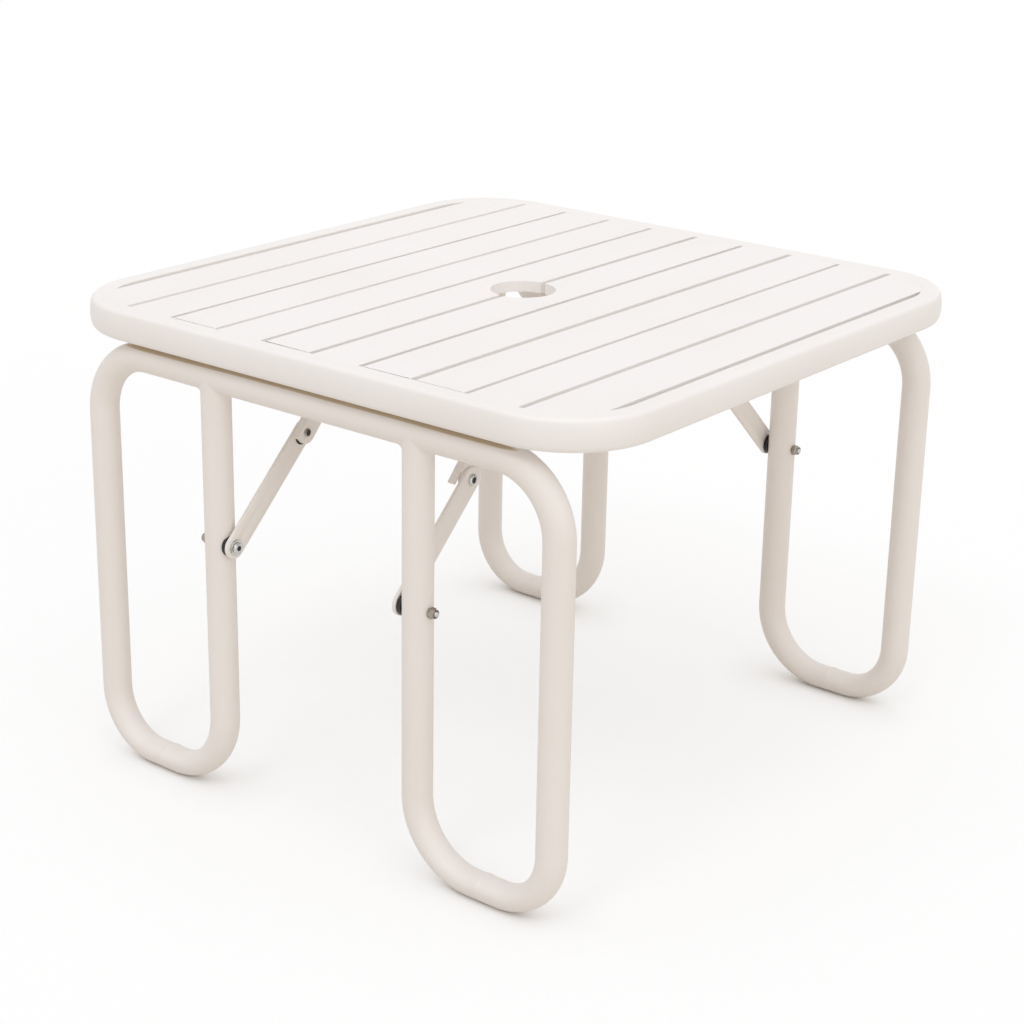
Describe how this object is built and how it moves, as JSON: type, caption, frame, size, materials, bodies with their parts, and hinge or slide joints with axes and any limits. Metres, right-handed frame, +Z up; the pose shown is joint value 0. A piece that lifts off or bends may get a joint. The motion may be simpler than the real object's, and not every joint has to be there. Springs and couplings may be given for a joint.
{
  "type": "side table",
  "caption": "Low square folding side table: flat-sided tube rail, flat slats with a central pole hole, and looped bent-tube leg frames that fold inward on jointed stays",
  "frame": {"origin": "on the floor, under the middle of the top", "axes": "+X along the leg frames' top bars, +Y along the slats from leg frame a to leg frame b, +Z up"},
  "size_m": [0.6, 0.6, 0.44],
  "materials": {
    "tube_paint": "satin powder coat, warm white",
    "slat_paint": "satin powder coat, warm white",
    "stay_paint": "satin powder coat, warm white",
    "bright_steel": "bright zinc plate",
    "spacer_black": "matte"
  },
  "bodies": {
    "table_top": {"top_rail": "tube_paint", "slat_01": "slat_paint", "slat_02": "slat_paint", "slat_03": "slat_paint", "slat_04": "slat_paint", "slat_05": "slat_paint", "slat_06": "slat_paint", "slat_07": "slat_paint", "slat_08": "slat_paint", "slat_09": "slat_paint", "slat_10": "slat_paint", "hinge_bracket_a_left": "stay_paint", "stay_bracket_a_left": "stay_paint", "hinge_bracket_a_right": "stay_paint", "stay_bracket_a_right": "stay_paint", "hinge_bracket_b_left": "stay_paint", "stay_bracket_b_left": "stay_paint", "hinge_bracket_b_right": "stay_paint", "stay_bracket_b_right": "stay_paint", "hinge_pins": "bright_steel", "stay_rivets": "bright_steel"},
    "leg_frame_a": {"leg_a_hoop": "tube_paint", "leg_a_inner_left": "tube_paint", "leg_a_inner_right": "tube_paint", "leg_a_hinge_ears": "stay_paint", "leg_a_pivot_bolts": "bright_steel", "leg_a_washers": "bright_steel", "leg_a_spacers": "spacer_black", "leg_a_lock_nuts": "bright_steel"},
    "lower_stay_a_left": {"lower_link_a_left": "stay_paint", "elbow_tail_a_left": "bright_steel"},
    "upper_stay_a_left": {"upper_link_a_left": "stay_paint", "elbow_head_a_left": "bright_steel"},
    "lower_stay_a_right": {"lower_link_a_right": "stay_paint", "elbow_tail_a_right": "bright_steel"},
    "upper_stay_a_right": {"upper_link_a_right": "stay_paint", "elbow_head_a_right": "bright_steel"},
    "leg_frame_b": {"leg_b_hoop": "tube_paint", "leg_b_inner_left": "tube_paint", "leg_b_inner_right": "tube_paint", "leg_b_hinge_ears": "stay_paint", "leg_b_pivot_bolts": "bright_steel", "leg_b_washers": "bright_steel", "leg_b_spacers": "spacer_black", "leg_b_lock_nuts": "bright_steel"},
    "lower_stay_b_left": {"lower_link_b_left": "stay_paint", "elbow_tail_b_left": "bright_steel"},
    "upper_stay_b_left": {"upper_link_b_left": "stay_paint", "elbow_head_b_left": "bright_steel"},
    "lower_stay_b_right": {"lower_link_b_right": "stay_paint", "elbow_tail_b_right": "bright_steel"},
    "upper_stay_b_right": {"upper_link_b_right": "stay_paint", "elbow_head_b_right": "bright_steel"}
  },
  "joints": [
    {"name": "leg_a_fold", "type": "hinge", "parent": "table_top", "child": "leg_frame_a", "pos_m": [0, -0.254, 0.39615], "axis": [1, 0, 0], "range_deg": [0, 90]},
    {"name": "lower_stay_a_left_turn", "type": "hinge", "parent": "leg_frame_a", "child": "lower_stay_a_left", "pos_m": [-0.0972, -0.278, 0.24415], "axis": [1, 0, 0], "range_deg": [0, 41]},
    {"name": "upper_stay_a_left_turn", "type": "hinge", "parent": "table_top", "child": "upper_stay_a_left", "pos_m": [-0.0934, -0.113, 0.41425], "axis": [1, 0, 0], "range_deg": [-33, 0]},
    {"name": "lower_stay_a_right_turn", "type": "hinge", "parent": "leg_frame_a", "child": "lower_stay_a_right", "pos_m": [0.0972, -0.278, 0.24415], "axis": [1, 0, 0], "range_deg": [0, 41]},
    {"name": "upper_stay_a_right_turn", "type": "hinge", "parent": "table_top", "child": "upper_stay_a_right", "pos_m": [0.0934, -0.113, 0.41425], "axis": [1, 0, 0], "range_deg": [-33, 0]},
    {"name": "leg_b_fold", "type": "hinge", "parent": "table_top", "child": "leg_frame_b", "pos_m": [0, 0.254, 0.39615], "axis": [-1, 0, 0], "range_deg": [0, 76]},
    {"name": "lower_stay_b_left_turn", "type": "hinge", "parent": "leg_frame_b", "child": "lower_stay_b_left", "pos_m": [-0.0972, 0.278, 0.24415], "axis": [-1, 0, 0], "range_deg": [0, 37]},
    {"name": "upper_stay_b_left_turn", "type": "hinge", "parent": "table_top", "child": "upper_stay_b_left", "pos_m": [-0.0934, 0.113, 0.41425], "axis": [-1, 0, 0], "range_deg": [-34, 0]},
    {"name": "lower_stay_b_right_turn", "type": "hinge", "parent": "leg_frame_b", "child": "lower_stay_b_right", "pos_m": [0.0972, 0.278, 0.24415], "axis": [-1, 0, 0], "range_deg": [0, 37]},
    {"name": "upper_stay_b_right_turn", "type": "hinge", "parent": "table_top", "child": "upper_stay_b_right", "pos_m": [0.0934, 0.113, 0.41425], "axis": [-1, 0, 0], "range_deg": [-34, 0]}
  ],
  "couplings": [
    {"joint": "lower_stay_a_left_turn", "follows": "leg_a_fold", "ratio": 0.44835},
    {"joint": "upper_stay_a_left_turn", "follows": "leg_a_fold", "ratio": -0.363},
    {"joint": "lower_stay_a_right_turn", "follows": "leg_a_fold", "ratio": 0.44835},
    {"joint": "upper_stay_a_right_turn", "follows": "leg_a_fold", "ratio": -0.363},
    {"joint": "lower_stay_b_left_turn", "follows": "leg_b_fold", "ratio": 0.47461},
    {"joint": "upper_stay_b_left_turn", "follows": "leg_b_fold", "ratio": -0.44024},
    {"joint": "lower_stay_b_right_turn", "follows": "leg_b_fold", "ratio": 0.47461},
    {"joint": "upper_stay_b_right_turn", "follows": "leg_b_fold", "ratio": -0.44024}
  ]
}
